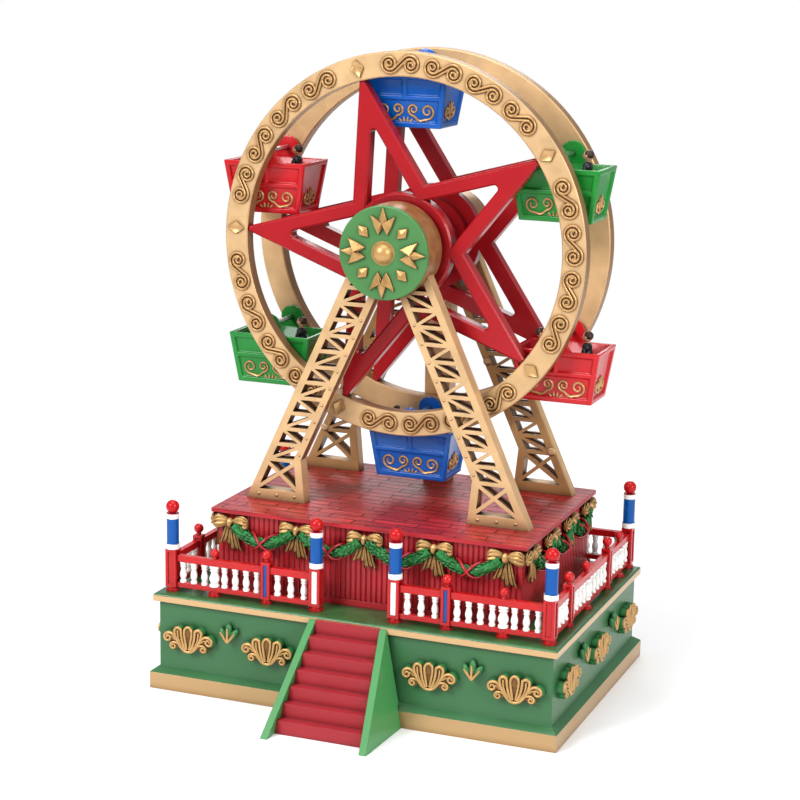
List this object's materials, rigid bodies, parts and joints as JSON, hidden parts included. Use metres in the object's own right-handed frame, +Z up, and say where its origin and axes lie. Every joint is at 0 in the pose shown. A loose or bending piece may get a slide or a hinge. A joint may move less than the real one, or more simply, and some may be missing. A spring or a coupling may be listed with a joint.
{
  "type": "hand cranked toy ferris wheel",
  "caption": "Table-top toy ferris wheel on a fenced plinth with stairs; a rear hand crank turns the wheel by gears and a belt while its hanging gondolas stay upright.",
  "frame": {"origin": "middle of the plinth's underside, on the table", "axes": "+Z up, -Y toward the stairs at the front, +X to the right seen from the front; the wheel turns about Y"},
  "size_m": [0.1212, 0.1185, 0.1784],
  "materials": {
    "plinth_green": "satin green",
    "slab_green": "dark green with a gold edge",
    "base_black": "matt",
    "steel": "bright",
    "stair_red": "satin red",
    "house_red": "satin red boards",
    "deck_red": "glossy dark red planks",
    "gold_paint": "gold paint with brown shading",
    "garland_green": "rough leafy",
    "fence_red": "glossy red",
    "white_paint": "gloss white",
    "pole_blue": "gloss blue with white collars and a red ball",
    "hub_green": "satin green",
    "brass": "turned",
    "drive_plastic": "natural nylon",
    "belt_rubber": "matt",
    "star_red": "satin red",
    "knob_red": "gloss red",
    "gondola_green": "gloss",
    "gondola_blue": "gloss",
    "gondola_red": "gloss",
    "rider_cloth": "painted dark coats"
  },
  "bodies": {
    "base": {"plinth_shell": "plinth_green", "bottom_plate": "base_black", "bottom_screws": "steel", "top_slab": "slab_green", "stair_steps": "stair_red", "stair_stringers": "plinth_green", "shell_ornaments": "plinth_green", "sprig_ornaments": "plinth_green", "house_walls": "house_red", "deck": "deck_red", "bows": "gold_paint", "swags": "garland_green", "fence_front_left": "fence_red", "fence_front_right": "fence_red", "fence_right": "fence_red", "fence_left": "fence_red", "fence_back": "fence_red", "balusters": "white_paint", "tall_posts": "fence_red", "tall_poles": "pole_blue", "front_right_leg": "gold_paint", "front_left_leg": "gold_paint", "front_leg_lattices": "gold_paint", "rear_right_leg": "gold_paint", "rear_left_leg": "gold_paint", "rear_leg_lattices": "gold_paint", "front_hub": "gold_paint", "front_hub_cap": "hub_green", "front_hub_ornaments": "gold_paint", "rear_hub": "gold_paint", "rear_hub_cover": "gold_paint", "axle_bushes": "brass", "drive_column": "gold_paint", "drive_bracket": "drive_plastic", "drive_belt": "belt_rubber"},
    "wheel": {"front_ring": "gold_paint", "rear_ring": "gold_paint", "front_star": "star_red", "rear_star": "star_red", "hub_drum": "star_red", "wheel_axle": "steel", "gondola_pins": "steel", "upper_pulley": "drive_plastic"},
    "gondola_1": {"gondola_1_tub": "gondola_green", "gondola_1_riders": "rider_cloth"},
    "gondola_2": {"gondola_2_tub": "gondola_blue", "gondola_2_riders": "rider_cloth"},
    "gondola_3": {"gondola_3_tub": "gondola_red", "gondola_3_riders": "rider_cloth"},
    "gondola_4": {"gondola_4_tub": "gondola_green", "gondola_4_riders": "rider_cloth"},
    "gondola_5": {"gondola_5_tub": "gondola_blue", "gondola_5_riders": "rider_cloth"},
    "gondola_6": {"gondola_6_tub": "gondola_red", "gondola_6_riders": "rider_cloth"},
    "lay_gear": {"lay_shaft": "steel", "large_gear": "drive_plastic"},
    "crank": {"crank_rod": "steel", "crank_pinion": "drive_plastic"},
    "knob": {"crank_knob": "knob_red"}
  },
  "joints": [
    {"name": "wheel_spin", "type": "hinge", "parent": "base", "child": "wheel", "pos_m": [0, 0.0062, 0.1252], "axis": [0, 1, 0], "continuous": true},
    {"name": "gondola_1_swing", "type": "hinge", "parent": "wheel", "child": "gondola_1", "pos_m": [0.04206, 0.0062, 0.15148], "axis": [0, 1, 0], "continuous": true},
    {"name": "gondola_2_swing", "type": "hinge", "parent": "wheel", "child": "gondola_2", "pos_m": [-0.00173, 0.0062, 0.17477], "axis": [0, 1, 0], "continuous": true},
    {"name": "gondola_3_swing", "type": "hinge", "parent": "wheel", "child": "gondola_3", "pos_m": [-0.04379, 0.0062, 0.14849], "axis": [0, 1, 0], "continuous": true},
    {"name": "gondola_4_swing", "type": "hinge", "parent": "wheel", "child": "gondola_4", "pos_m": [-0.04206, 0.0062, 0.09892], "axis": [0, 1, 0], "continuous": true},
    {"name": "gondola_5_swing", "type": "hinge", "parent": "wheel", "child": "gondola_5", "pos_m": [0.00173, 0.0062, 0.07563], "axis": [0, 1, 0], "continuous": true},
    {"name": "gondola_6_swing", "type": "hinge", "parent": "wheel", "child": "gondola_6", "pos_m": [0.04379, 0.0062, 0.10191], "axis": [0, 1, 0], "continuous": true},
    {"name": "lay_gear_spin", "type": "hinge", "parent": "base", "child": "lay_gear", "pos_m": [0, 0.031, 0.014], "axis": [0, 1, 0], "continuous": true},
    {"name": "crank_spin", "type": "hinge", "parent": "base", "child": "crank", "pos_m": [0.01478, 0.04, 0.014], "axis": [0, 1, 0], "continuous": true},
    {"name": "knob_spin", "type": "hinge", "parent": "crank", "child": "knob", "pos_m": [0.01478, 0.05, 0.0234], "axis": [0, 1, 0], "continuous": true}
  ],
  "couplings": [
    {"joint": "gondola_1_swing", "follows": "wheel_spin", "ratio": -1},
    {"joint": "gondola_2_swing", "follows": "wheel_spin", "ratio": -1},
    {"joint": "gondola_3_swing", "follows": "wheel_spin", "ratio": -1},
    {"joint": "gondola_4_swing", "follows": "wheel_spin", "ratio": -1},
    {"joint": "gondola_5_swing", "follows": "wheel_spin", "ratio": -1},
    {"joint": "gondola_6_swing", "follows": "wheel_spin", "ratio": -1},
    {"joint": "lay_gear_spin", "follows": "wheel_spin", "ratio": 1},
    {"joint": "crank_spin", "follows": "wheel_spin", "ratio": -2.5}
  ]
}
